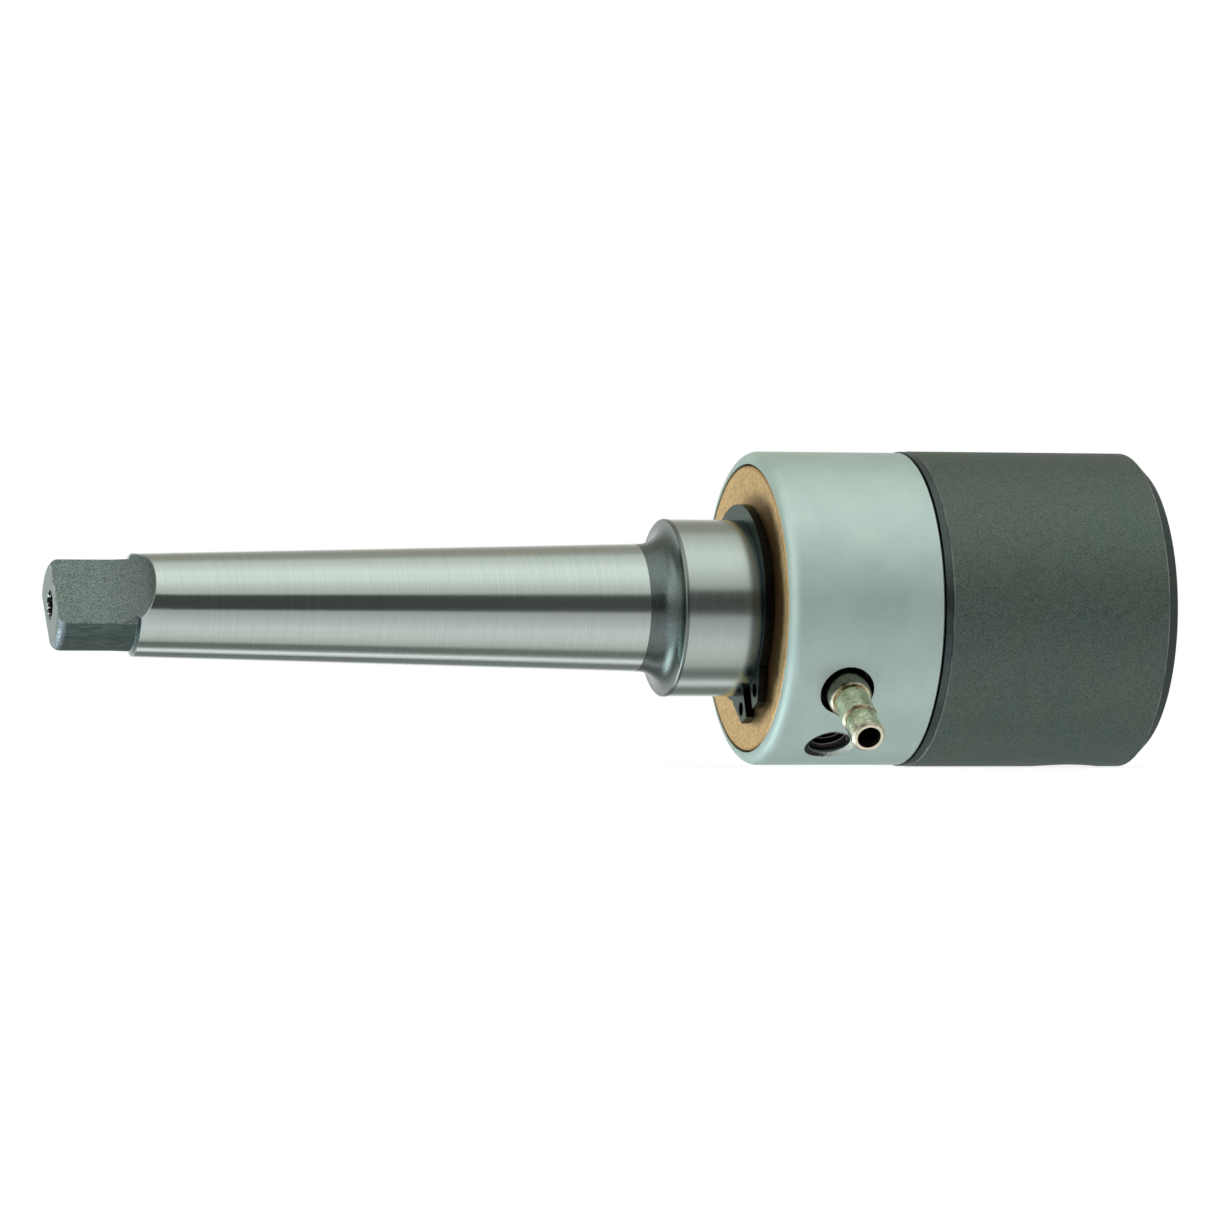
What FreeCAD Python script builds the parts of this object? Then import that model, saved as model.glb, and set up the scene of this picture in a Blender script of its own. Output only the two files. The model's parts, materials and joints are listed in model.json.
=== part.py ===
import FreeCAD, Part
import math
import os

# Morse taper arbor for plain-shank annular cutters, with a rotating coolant ring.
# Frame: millimetres, +X along the axis from the tang to the cutter, +Z up, the front of the object faces -Y.
# The origin is on the axis in the taper's gauge plane, where the cone measures its nominal diameter.
# Angles round the axis start at the front and grow downwards.

V = FreeCAD.Vector
AXIS = V(1, 0, 0)
CENTRE = V(0, 0, 0)
os.makedirs("parts", exist_ok=True)

# Morse taper no. 2 shank
GAUGE_DIAMETER = 17.780
TAPER_PER_MM = 0.04995
CONE_PAST_GAUGE = 5.0
TANG_TIP_TO_GAUGE = 79.1
TANG_LENGTH = 11.1
TANG_SHOULDER_STEP = 0.79
TANG_THICKNESS = 6.3
TANG_FLAT_ANGLE = -38.5
TANG_FLAT_LENGTH = 8.0
TANG_CUTTER_RADIUS = 6.0
TANG_CORNER_RADIUS = 1.35
TAPER_END_CHAMFER = 0.4
CENTRE_HOLE_DIAMETER = 3.2
CENTRE_HOLE_DEPTH = 6.0
CENTRE_HOLE_MOUTH = 4.2

# Neck and ground journal
JOURNAL_DIAMETER = 25.0
NECK_STRAIGHT = 0.7
RIM_PROUD = 0.07
RIM_LENGTH = 0.55
RIM_CHAMFER = 0.15
JOURNAL_TO_CIRCLIP = 11.2

# External retaining ring on the journal
CIRCLIP_THICKNESS = 1.2
CIRCLIP_GROOVE_DEPTH = 0.55
CIRCLIP_SIDE_PLAY = 0.05
CIRCLIP_SEAT_PLAY = 0.02
CIRCLIP_BACK_BAND = 2.8
CIRCLIP_TIP_BAND = 1.3
CIRCLIP_LUG_HEIGHT = 4.0
CIRCLIP_LUG_HOLE = 2.0
CIRCLIP_LUG_WIDTH = 3.8
CIRCLIP_OPENING = 3.3
CIRCLIP_ANGLE = 67.5

# Coolant ring
RING_UNDER_HEAD = 0.225
RING_LENGTH = 22.37
RING_FRONT_GAP = 0.13
RING_BACK_GAP = 0.2
RING_ROUND_RADIUS = 1.6
RING_BACK_CHAMFER = 0.2
RING_WEB_WIDTH = 6.0
RING_WEB_GAP = 1.0
RUNNING_CLEARANCE = 0.03

# Bearing bushes and thrust washer
FRONT_BUSH_RIM_WALL = 1.75
FRONT_BUSH_LENGTH = 2.8
FRONT_BUSH_RELIEF = 0.32
FRONT_BUSH_RELIEF_LENGTH = 1.4
FRONT_BUSH_CHAMFER = 0.15
REAR_BUSH_HEIGHT = 5.5
THRUST_WASHER_UNDER_HEAD = 0.05
THRUST_WASHER_THICKNESS = 0.95

# Shaft seals in the ring
SEAL_HEIGHT = 4.0
SEAL_WIDTH = 3.2
SEAL_WALL = 1.0
SEAL_LIP_HEIGHT = 1.35
SEAL_LIP_EDGE = 0.5
SEAL_LIP_CLEARANCE = 0.05
SEAL_SIDE_PLAY = 0.1
GARTER_WIRE = 1.0
GARTER_SEAT_PLAY = 0.02

# Ports in the ring
HOSE_PORT_ANGLE = 31.7
ROD_PORT_ANGLE = 60.6
HOSE_PORT_BORE = 5.0
HOSE_PORT_MOUTH = 7.8
HOSE_PORT_MOUTH_DEPTH = 3.0
ROD_PORT_BORE = 6.0
ROD_PORT_MOUTH = 7.2
ROD_PORT_DEPTH = 5.8

# Hose nipple
NIPPLE_WASHER_DIAMETER = 7.2
NIPPLE_WASHER_THICKNESS = 0.6
NIPPLE_COLLAR_BASE_DIAMETER = 7.0
NIPPLE_COLLAR_DIAMETER = 6.1
NIPPLE_COLLAR_OUT = 2.2
NIPPLE_STEM_DIAMETER = 5.0
NIPPLE_STEM_OUT = 7.2
NIPPLE_GROOVE_DIAMETER = 4.3
NIPPLE_GROOVE_WIDTH = 0.6
NIPPLE_END_DIAMETER = 4.7
NIPPLE_OUT = 11.8
NIPPLE_EDGE = 0.3
NIPPLE_BORE = 3.35
NIPPLE_THREAD_LENGTH = 4.4
THREAD_CLEARANCE = 0.05

# Head that holds the cutter
HEAD_DIAMETER = 44.9
HEAD_LENGTH = 34.0
HEAD_BACK_CHAMFER = 0.3
HEAD_FRONT_CHAMFER = 1.9
CUTTER_BORE_DIAMETER = 19.06
CUTTER_BORE_DEPTH = 32.5
CUTTER_BORE_CHAMFER = 0.8

# Cutter clamping screws
SCREW_DIAMETER = 10.0
SCREW_FROM_FACE = 10.3
SCREW_TIP_BACK = 0.6
SCREW_SUNK = 3.32
SCREW_EDGE = 0.8
SCREW_CUP_DIAMETER = 5.5
SCREW_CUP_DEPTH = 1.2
SCREW_SOCKET_WIDTH = 5.0
SCREW_SOCKET_DEPTH = 4.5
SCREW_HOLE_MOUTH = 11.6
FRONT_SCREW_ANGLE = 94.0
SIDE_SCREW_ANGLE = 184.0
SCREW_ANGLES = {"set_screw_front": FRONT_SCREW_ANGLE, "set_screw_side": SIDE_SCREW_ANGLE}

# Coolant valve inside the arbor
CHAMBER_DIAMETER = 11.0
CROSS_HOLE_DIAMETER = 3.0
CROSS_HOLE_COUNT = 4
INNER_CLIP_INSET = 1.2
INNER_CLIP_THICKNESS = 1.0
INNER_CLIP_GROOVE_DEPTH = 0.4
INNER_CLIP_BAND = 1.6
INNER_CLIP_OPENING_ANGLE = 56.0
INNER_CLIP_LUG_RADIUS = 0.95
INNER_CLIP_LUG_HOLE = 1.0
PLUNGER_CLEARANCE = 0.05
PLUNGER_LENGTH = 9.0
PLUNGER_TRAVEL = 23.0
PLUNGER_REST_GAP = 0.05
PLUNGER_EDGE = 0.4
PLUNGER_NOSE_DIAMETER = 6.2
PLUNGER_NOSE_PAST_CLIP = 0.6
PLUNGER_SPIGOT_DIAMETER = 6.8
PLUNGER_SPIGOT_LENGTH = 4.0
PLUNGER_SEAL_SECTION = 1.5
PLUNGER_SEAL_FROM_FACE = 3.5
SPRING_WIRE = 0.9
SPRING_TURNS = 8.5
SPRING_SIDE_GAP = 0.25
SPRING_SOLID_MARGIN = 1.5
SPRING_SEAT_THICKNESS = 0.8
SPRING_SEAT_BORE = 5.0

# Radii that follow from the diameters
SHOULDER_DIAMETER = GAUGE_DIAMETER - TAPER_PER_MM * (TANG_TIP_TO_GAUGE - TANG_LENGTH)
TANG_R = SHOULDER_DIAMETER / 2 - TANG_SHOULDER_STEP
JOURNAL_R = JOURNAL_DIAMETER / 2
RIM_R = JOURNAL_R + RIM_PROUD
GROOVE_R = JOURNAL_R - CIRCLIP_GROOVE_DEPTH
HEAD_R = HEAD_DIAMETER / 2
BORE_R = CUTTER_BORE_DIAMETER / 2
RING_R = HEAD_R - RING_UNDER_HEAD
THRUST_WASHER_R = HEAD_R - THRUST_WASHER_UNDER_HEAD
FRONT_BUSH_R = RING_R - FRONT_BUSH_RIM_WALL
REAR_BUSH_R = JOURNAL_R + REAR_BUSH_HEIGHT
SEAL_R = JOURNAL_R + SEAL_HEIGHT
CHAMBER_R = CHAMBER_DIAMETER / 2
RUNNING_R = JOURNAL_R + RUNNING_CLEARANCE

# Stations along the axis, from the tang to the cutter
TIP_X = -TANG_TIP_TO_GAUGE
SHOULDER_X = TIP_X + TANG_LENGTH
CONE_END_X = CONE_PAST_GAUGE
CONE_END_R = (GAUGE_DIAMETER + TAPER_PER_MM * CONE_END_X) / 2
NECK_FILLET_R = RIM_R - RIM_CHAMFER - CONE_END_R
RIM_X = CONE_END_X + NECK_STRAIGHT + NECK_FILLET_R
CIRCLIP_X = RIM_X + JOURNAL_TO_CIRCLIP
RING_X = CIRCLIP_X + CIRCLIP_THICKNESS + RING_FRONT_GAP
RING_END_X = RING_X + RING_LENGTH
WASHER_X = RING_END_X + RING_BACK_GAP
HEAD_X = WASHER_X + THRUST_WASHER_THICKNESS
HEAD_END_X = HEAD_X + HEAD_LENGTH
BORE_BOTTOM_X = HEAD_END_X - CUTTER_BORE_DEPTH

# Stations inside the ring
SEAL_HOUSING = SEAL_WIDTH + SEAL_SIDE_PLAY
FRONT_SEAL_X = RING_X + FRONT_BUSH_LENGTH
WEB_X = FRONT_SEAL_X + SEAL_HOUSING
PORT_X = WEB_X + RING_WEB_WIDTH / 2
WEB_END_X = WEB_X + RING_WEB_WIDTH
REAR_BUSH_X = WEB_END_X + SEAL_HOUSING

# Stations of the valve, from the cutter bore's floor back towards the tang
INNER_CLIP_END_X = BORE_BOTTOM_X - INNER_CLIP_INSET
INNER_CLIP_X = INNER_CLIP_END_X - INNER_CLIP_THICKNESS
PLUNGER_FACE_X = INNER_CLIP_X - PLUNGER_REST_GAP
PLUNGER_BACK_X = PLUNGER_FACE_X - PLUNGER_LENGTH
SPRING_SOLID_LENGTH = SPRING_WIRE * (SPRING_TURNS + 1) + SPRING_SOLID_MARGIN
SPRING_X = PLUNGER_BACK_X - PLUNGER_TRAVEL - SPRING_SOLID_LENGTH
CHAMBER_X = SPRING_X - SPRING_SEAT_THICKNESS


def outward(angle):
    """Unit vector away from the axis at an angle that starts at the front and grows downwards."""
    return V(0, -math.cos(math.radians(angle)), -math.sin(math.radians(angle)))


def cone_radius(x):
    """Radius of the Morse cone at station x."""
    return (GAUGE_DIAMETER + TAPER_PER_MM * x) / 2


def on_profile(x, r):
    """Point of a turned profile, in the half plane above the axis."""
    return V(x, 0, r)


def profile_edges(points):
    """Straight edges through points given as (x, r) pairs."""
    ends = [on_profile(*p) for p in points]
    return [Part.makeLine(a, b) for a, b in zip(ends, ends[1:])]


def profile_arc(start, middle, end):
    """Arc through three (x, r) pairs."""
    return Part.Arc(on_profile(*start), on_profile(*middle), on_profile(*end)).toShape()


def turned(edges):
    """Solid of revolution about the axis from a closed profile."""
    return Part.Face(Part.Wire(edges)).revolve(CENTRE, AXIS, 360)


def turned_polygon(points):
    """Solid of revolution from a closed profile of straight lines."""
    return turned(profile_edges(points + points[:1]))


def tube(x0, x1, outer, inner):
    """Plain ring between two stations."""
    return turned_polygon([(x0, inner), (x1, inner), (x1, outer), (x0, outer)])


def radial_cylinder(x, angle, radius, inner, outer):
    """Cylinder on a radial line at station x, from one distance off the axis to another."""
    way = outward(angle)
    return Part.makeCylinder(radius, outer - inner, V(x, 0, 0) + way * inner, way)


def radial_cone(x, angle, inner_radius, outer_radius, inner, outer):
    """Cone on a radial line at station x, from one distance off the axis to another."""
    way = outward(angle)
    return Part.makeCone(inner_radius, outer_radius, outer - inner, V(x, 0, 0) + way * inner, way)


def quarter_middle(centre, radius, from_degrees, to_degrees):
    """Middle point of an arc in the profile plane."""
    half = math.radians((from_degrees + to_degrees) / 2)
    return (centre[0] + radius * math.cos(half), centre[1] + radius * math.sin(half))


def shank_profile():
    """Profile of the tang, the cone and the neck, from the axis at the tip to the rim of the journal."""
    corner = TANG_CORNER_RADIUS
    cone_start = SHOULDER_X + TAPER_END_CHAMFER
    fillet_start = CONE_END_X + NECK_STRAIGHT
    edges = profile_edges([(TIP_X, 0), (TIP_X, TANG_R - corner)])
    edges.append(profile_arc(
        (TIP_X, TANG_R - corner),
        quarter_middle((TIP_X + corner, TANG_R - corner), corner, 90, 180),
        (TIP_X + corner, TANG_R)))
    edges += profile_edges([
        (TIP_X + corner, TANG_R),
        (SHOULDER_X, TANG_R),
        (cone_start, cone_radius(cone_start)),
        (CONE_END_X, CONE_END_R),
        (fillet_start, CONE_END_R)])
    edges.append(profile_arc(
        (fillet_start, CONE_END_R),
        quarter_middle((fillet_start, CONE_END_R + NECK_FILLET_R), NECK_FILLET_R, -90, 0),
        (RIM_X, RIM_R - RIM_CHAMFER)))
    return edges


def journal_and_head_profile():
    """Profile from the rim of the journal round the head and back through the bores to the axis."""
    rim_end = RIM_X + RIM_LENGTH
    clip_end = CIRCLIP_X + CIRCLIP_THICKNESS + CIRCLIP_SIDE_PLAY
    groove_r = CHAMBER_R + INNER_CLIP_GROOVE_DEPTH
    return profile_edges([
        (RIM_X, RIM_R - RIM_CHAMFER),
        (RIM_X + RIM_CHAMFER, RIM_R),
        (rim_end, RIM_R),
        (rim_end, JOURNAL_R),
        (CIRCLIP_X - CIRCLIP_SIDE_PLAY, JOURNAL_R),
        (CIRCLIP_X - CIRCLIP_SIDE_PLAY, GROOVE_R),
        (clip_end, GROOVE_R),
        (clip_end, JOURNAL_R),
        (HEAD_X, JOURNAL_R),
        (HEAD_X, HEAD_R - HEAD_BACK_CHAMFER),
        (HEAD_X + HEAD_BACK_CHAMFER, HEAD_R),
        (HEAD_END_X - HEAD_FRONT_CHAMFER, HEAD_R),
        (HEAD_END_X, HEAD_R - HEAD_FRONT_CHAMFER),
        (HEAD_END_X, BORE_R + CUTTER_BORE_CHAMFER),
        (HEAD_END_X - CUTTER_BORE_CHAMFER, BORE_R),
        (BORE_BOTTOM_X, BORE_R),
        (BORE_BOTTOM_X, CHAMBER_R),
        (INNER_CLIP_END_X + PLUNGER_REST_GAP, CHAMBER_R),
        (INNER_CLIP_END_X + PLUNGER_REST_GAP, groove_r),
        (INNER_CLIP_X - PLUNGER_REST_GAP, groove_r),
        (INNER_CLIP_X - PLUNGER_REST_GAP, CHAMBER_R),
        (CHAMBER_X, CHAMBER_R),
        (CHAMBER_X, 0),
        (TIP_X, 0)])


def tang_flat_cutter(angle):
    """Slab that mills one flat of the tang, with the cutter's round run-out towards the cone."""
    depth = TANG_THICKNESS / 2
    radius = TANG_CUTTER_RADIUS
    far = GAUGE_DIAMETER
    run_out = TIP_X + TANG_FLAT_LENGTH
    before = TIP_X - GAUGE_DIAMETER
    edges = profile_edges([(run_out + radius, depth + radius), (run_out + radius, far), (before, far),
                           (before, depth), (run_out, depth)])
    edges.append(profile_arc(
        (run_out, depth),
        quarter_middle((run_out, depth + radius), radius, -90, 0),
        (run_out + radius, depth + radius)))
    slab = Part.Face(Part.Wire(edges)).extrude(V(0, 2 * far, 0))
    slab.translate(V(0, -far, 0))
    slab.rotate(CENTRE, AXIS, angle + 90)
    return slab


def arbor_body():
    """Shank, neck, journal and head, turned from one piece of steel."""
    body = turned(shank_profile() + journal_and_head_profile())
    for angle in (TANG_FLAT_ANGLE, TANG_FLAT_ANGLE + 180):
        body = body.cut(tang_flat_cutter(angle))
    mouth_depth = (CENTRE_HOLE_MOUTH - CENTRE_HOLE_DIAMETER) / 2
    body = body.cut(Part.makeCylinder(CENTRE_HOLE_DIAMETER / 2, CENTRE_HOLE_DEPTH, V(TIP_X, 0, 0), AXIS))
    body = body.cut(Part.makeCone(
        CENTRE_HOLE_MOUTH / 2, CENTRE_HOLE_DIAMETER / 2, mouth_depth, V(TIP_X, 0, 0), AXIS))
    for number in range(CROSS_HOLE_COUNT):
        angle = HOSE_PORT_ANGLE + number * 360 / CROSS_HOLE_COUNT
        body = body.cut(radial_cylinder(PORT_X, angle, CROSS_HOLE_DIAMETER / 2, 0, JOURNAL_DIAMETER))
    for angle in SCREW_ANGLES.values():
        body = body.cut(screw_hole_cutter(angle))
    return body


def screw_hole_cutter(angle):
    """Radial hole for a clamping screw, with a countersunk mouth."""
    x = HEAD_END_X - SCREW_FROM_FACE
    radius = SCREW_DIAMETER / 2 + THREAD_CLEARANCE
    mouth = SCREW_HOLE_MOUTH / 2
    deep = HEAD_R - (mouth - radius)
    hole = radial_cylinder(x, angle, radius, 0, HEAD_DIAMETER)
    return hole.fuse(radial_cone(x, angle, radius, radius + HEAD_R, deep, deep + HEAD_R))


def external_circlip():
    """Retaining ring in the journal's groove, wider at its back, with two pointed lugs for pliers."""
    inner = GROOVE_R + CIRCLIP_SEAT_PLAY
    outer = inner + (CIRCLIP_BACK_BAND + CIRCLIP_TIP_BAND) / 2
    shift = (CIRCLIP_BACK_BAND - CIRCLIP_TIP_BAND) / 2
    thick = V(CIRCLIP_THICKNESS, 0, 0)
    start = V(CIRCLIP_X, 0, 0)
    band = Part.makeCylinder(outer, CIRCLIP_THICKNESS, start - V(0, 0, shift), AXIS)
    half = CIRCLIP_OPENING / 2
    tip = inner + CIRCLIP_LUG_HEIGHT
    hole_at = half + CIRCLIP_LUG_WIDTH / 2
    for side in (-1, 1):
        outline = [(half, inner / 2), (half, tip), (half + CIRCLIP_LUG_WIDTH * 0.65, tip),
                   (half + CIRCLIP_LUG_WIDTH * 1.35, inner), (half + CIRCLIP_LUG_WIDTH, inner / 2)]
        corners = [start + V(0, side * across, up) for across, up in outline]
        lug = Part.Face(Part.makePolygon(corners + corners[:1])).extrude(thick)
        band = band.fuse(lug)
    band = band.cut(Part.makeCylinder(inner, CIRCLIP_THICKNESS, start, AXIS))
    opening = Part.makeBox(CIRCLIP_THICKNESS, CIRCLIP_OPENING, 2 * tip)
    opening.translate(start - V(0, half, 0))
    band = band.cut(opening)
    for side in (-1, 1):
        at = start + V(0, side * hole_at, (inner + tip) / 2)
        band = band.cut(Part.makeCylinder(CIRCLIP_LUG_HOLE / 2, CIRCLIP_THICKNESS, at, AXIS))
    band.rotate(CENTRE, AXIS, CIRCLIP_ANGLE + 90)
    return band


def coolant_ring():
    """Ring round the journal, bored for its bushes and seals and drilled with two radial ports."""
    bush = FRONT_BUSH_R
    rear = REAR_BUSH_R
    web = JOURNAL_R + RING_WEB_GAP
    round_r = RING_ROUND_RADIUS
    edges = profile_edges([
        (RING_X + round_r, RING_R), (RING_END_X - RING_BACK_CHAMFER, RING_R),
        (RING_END_X, RING_R - RING_BACK_CHAMFER), (RING_END_X, rear), (REAR_BUSH_X, rear), (REAR_BUSH_X, SEAL_R),
        (WEB_END_X, SEAL_R), (WEB_END_X, web), (WEB_X, web), (WEB_X, SEAL_R), (FRONT_SEAL_X, SEAL_R),
        (FRONT_SEAL_X, bush), (RING_X, bush), (RING_X, RING_R - round_r)])
    edges.append(profile_arc(
        (RING_X, RING_R - round_r),
        quarter_middle((RING_X + round_r, RING_R - round_r), round_r, 90, 180),
        (RING_X + round_r, RING_R)))
    ring = turned(edges)
    ring = ring.cut(radial_cylinder(PORT_X, HOSE_PORT_ANGLE, HOSE_PORT_BORE / 2, 0, HEAD_DIAMETER))
    ring = ring.cut(radial_cylinder(
        PORT_X, HOSE_PORT_ANGLE, HOSE_PORT_MOUTH / 2, RING_R - HOSE_PORT_MOUTH_DEPTH, HEAD_DIAMETER))
    bore = ROD_PORT_BORE / 2
    ring = ring.cut(radial_cylinder(PORT_X, ROD_PORT_ANGLE, bore, RING_R - ROD_PORT_DEPTH, HEAD_DIAMETER))
    sink = RING_R - (ROD_PORT_MOUTH / 2 - bore)
    return ring.cut(radial_cone(PORT_X, ROD_PORT_ANGLE, bore, bore + RING_R, sink, sink + RING_R))


def front_bush():
    """Bronze bush pressed into the ring's front, with a relieved rim that shows as a thin dark gap."""
    outer = FRONT_BUSH_R
    rim = outer - FRONT_BUSH_RELIEF
    step = RING_X + FRONT_BUSH_RELIEF_LENGTH
    edge = FRONT_BUSH_CHAMFER
    return turned_polygon([
        (RING_X, RUNNING_R), (FRONT_SEAL_X, RUNNING_R), (FRONT_SEAL_X, outer), (step, outer), (step, rim),
        (RING_X + edge, rim), (RING_X, rim - edge)])


def rear_bush():
    """Bronze bush pressed into the ring's back."""
    return tube(REAR_BUSH_X, RING_END_X, REAR_BUSH_R, RUNNING_R)


def rear_thrust_washer():
    """Hard washer on the journal that keeps the ring off the head."""
    return tube(WASHER_X, HEAD_X, THRUST_WASHER_R, RUNNING_R)


def shaft_seal(closed_x, way):
    """Rubber seal whose lip opens towards the coolant; way is +1 or -1 along the axis."""
    play = SEAL_SIDE_PLAY / 2
    back = SEAL_R - SEAL_WALL
    lip_back = JOURNAL_R + SEAL_LIP_HEIGHT
    lip_under = lip_back - SEAL_LIP_EDGE
    tip = JOURNAL_R + SEAL_LIP_CLEARANCE
    end = SEAL_WIDTH
    outline = [
        (0, SEAL_R), (end, SEAL_R), (end, back), (SEAL_WALL, back), (SEAL_WALL, lip_back), (end, lip_back),
        (end, lip_under), (end - SEAL_LIP_EDGE, tip), (end - 2 * SEAL_LIP_EDGE, lip_under), (0, lip_under)]
    return turned_polygon([(closed_x + way * (u + play), r) for u, r in outline])


def garter_spring(closed_x, way):
    """Garter spring that lies on the back of a seal's lip."""
    wire = GARTER_WIRE / 2
    along = SEAL_SIDE_PLAY / 2 + SEAL_WIDTH - SEAL_LIP_EDGE - wire
    ring_r = JOURNAL_R + SEAL_LIP_HEIGHT + wire + GARTER_SEAT_PLAY
    return Part.makeTorus(ring_r, wire, V(closed_x + way * along, 0, 0), AXIS)


def hose_nipple():
    """Hose nipple: thread, collar, stem, groove and plain end round one bore."""
    floor = RING_R - HOSE_PORT_MOUTH_DEPTH
    seat = floor + NIPPLE_WASHER_THICKNESS
    thread = HOSE_PORT_BORE / 2 - THREAD_CLEARANCE
    stem = NIPPLE_STEM_DIAMETER / 2
    end = NIPPLE_END_DIAMETER / 2
    groove = NIPPLE_GROOVE_DIAMETER / 2
    bore = NIPPLE_BORE / 2
    collar_base = NIPPLE_COLLAR_BASE_DIAMETER / 2
    collar = NIPPLE_COLLAR_DIAMETER / 2
    collar_top = RING_R + NIPPLE_COLLAR_OUT
    stem_top = RING_R + NIPPLE_STEM_OUT
    end_top = RING_R + NIPPLE_OUT
    edge = NIPPLE_EDGE
    outline = [
        (floor - NIPPLE_THREAD_LENGTH, bore), (floor - NIPPLE_THREAD_LENGTH, thread), (seat, thread), (seat, collar_base),
        (collar_top - edge, collar), (collar_top, collar - edge), (collar_top, stem), (stem_top - edge, stem),
        (stem_top, stem - edge), (stem_top, groove), (stem_top + NIPPLE_GROOVE_WIDTH, groove),
        (stem_top + NIPPLE_GROOVE_WIDTH, end), (end_top - edge, end), (end_top, end - edge), (end_top, bore)]
    piece = turned_polygon(outline)
    piece.rotate(CENTRE, V(0, 0, 1), -90)
    piece.rotate(CENTRE, AXIS, HOSE_PORT_ANGLE)
    piece.translate(V(PORT_X, 0, 0))
    return piece


def nipple_washer():
    """Sealing washer between the nipple's collar and the floor of its port."""
    floor = RING_R - HOSE_PORT_MOUTH_DEPTH
    disc = radial_cylinder(
        PORT_X, HOSE_PORT_ANGLE, NIPPLE_WASHER_DIAMETER / 2, floor, floor + NIPPLE_WASHER_THICKNESS)
    return disc.cut(radial_cylinder(PORT_X, HOSE_PORT_ANGLE, HOSE_PORT_BORE / 2, 0, HEAD_DIAMETER))


def set_screw(angle):
    """Headless clamping screw with a hexagon socket and a cup point."""
    x = HEAD_END_X - SCREW_FROM_FACE
    radius = SCREW_DIAMETER / 2
    tip = BORE_R + SCREW_TIP_BACK
    top = HEAD_R - SCREW_SUNK
    edge = SCREW_EDGE
    screw = radial_cone(x, angle, radius - edge, radius, tip, tip + edge)
    screw = screw.fuse(radial_cylinder(x, angle, radius, tip + edge, top - edge))
    screw = screw.fuse(radial_cone(x, angle, radius, radius - edge, top - edge, top)).removeSplitter()
    screw = screw.cut(radial_cone(x, angle, SCREW_CUP_DIAMETER / 2, 0, tip, tip + SCREW_CUP_DEPTH))
    corner = SCREW_SOCKET_WIDTH / 2 / math.cos(math.radians(30))
    corners = []
    for number in range(7):
        turn = math.radians(60 * number)
        corners.append(V(corner * math.cos(turn), corner * math.sin(turn), top - SCREW_SOCKET_DEPTH))
    socket = Part.Face(Part.makePolygon(corners)).extrude(V(0, 0, SCREW_SOCKET_DEPTH))
    socket.rotate(CENTRE, AXIS, angle + 90)
    socket.translate(V(x, 0, 0))
    return screw.cut(socket)


def internal_circlip():
    """Retaining ring in the chamber's mouth that stops the plunger."""
    outer = CHAMBER_R + INNER_CLIP_GROOVE_DEPTH - CIRCLIP_SEAT_PLAY
    inner = outer - INNER_CLIP_BAND
    ring = tube(INNER_CLIP_X, INNER_CLIP_END_X, outer, inner)
    half = INNER_CLIP_OPENING_ANGLE / 2
    lug = INNER_CLIP_LUG_RADIUS
    reach = 2 * outer
    corners = [V(INNER_CLIP_X, 0, 0)]
    for turn in (-half, half):
        corners.append(V(INNER_CLIP_X, reach * math.sin(math.radians(turn)), reach * math.cos(math.radians(turn))))
    wedge = Part.Face(Part.makePolygon(corners + corners[:1])).extrude(V(INNER_CLIP_THICKNESS, 0, 0))
    ring = ring.cut(wedge)
    for turn in (-half, half):
        middle = (outer + inner) / 2 - lug / 2
        at = V(INNER_CLIP_X, middle * math.sin(math.radians(turn)), middle * math.cos(math.radians(turn)))
        ring = ring.fuse(Part.makeCylinder(lug, INNER_CLIP_THICKNESS, at, AXIS))
        ring = ring.cut(Part.makeCylinder(INNER_CLIP_LUG_HOLE / 2, INNER_CLIP_THICKNESS, at, AXIS))
    return ring


def plunger_seal_ring_radius():
    """Radius of the o-ring's centre line."""
    return CHAMBER_R - PLUNGER_CLEARANCE - PLUNGER_SEAL_SECTION / 2


def valve_plunger():
    """Plunger with a nose for the pilot pin, an o-ring groove and a spigot for the spring."""
    body = CHAMBER_R - PLUNGER_CLEARANCE
    nose = PLUNGER_NOSE_DIAMETER / 2
    nose_end = INNER_CLIP_END_X + PLUNGER_NOSE_PAST_CLIP
    spigot = PLUNGER_SPIGOT_DIAMETER / 2
    spigot_x = PLUNGER_BACK_X - PLUNGER_SPIGOT_LENGTH
    edge = PLUNGER_EDGE
    seal_x = PLUNGER_FACE_X - PLUNGER_SEAL_FROM_FACE
    half = PLUNGER_SEAL_SECTION / 2 + PLUNGER_CLEARANCE
    floor = plunger_seal_ring_radius() - half
    return turned_polygon([
        (spigot_x, 0), (spigot_x, spigot - edge), (spigot_x + edge, spigot), (PLUNGER_BACK_X, spigot),
        (PLUNGER_BACK_X, body - edge), (PLUNGER_BACK_X + edge, body), (seal_x - half, body), (seal_x - half, floor),
        (seal_x + half, floor), (seal_x + half, body), (PLUNGER_FACE_X - edge, body), (PLUNGER_FACE_X, body - edge),
        (PLUNGER_FACE_X, nose), (nose_end - edge, nose), (nose_end, nose - edge), (nose_end, 0)])


def plunger_seal():
    """O-ring in the plunger's groove."""
    at = V(PLUNGER_FACE_X - PLUNGER_SEAL_FROM_FACE, 0, 0)
    return Part.makeTorus(plunger_seal_ring_radius(), PLUNGER_SEAL_SECTION / 2, at, AXIS)


def valve_spring():
    """Compression spring between its seat and the plunger."""
    wire = SPRING_WIRE / 2
    coil = CHAMBER_R - SPRING_SIDE_GAP - wire
    length = PLUNGER_BACK_X - SPRING_X - SPRING_WIRE
    helix = Part.makeHelix(length / SPRING_TURNS, length, coil)
    section = Part.Wire(Part.makeCircle(wire, V(coil, 0, 0), V(0, 1, 0)))
    spring = Part.Wire(helix).makePipeShell([section], True, True)
    spring.rotate(CENTRE, V(0, 1, 0), 90)
    spring.translate(V(SPRING_X + wire, 0, 0))
    return spring


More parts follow.
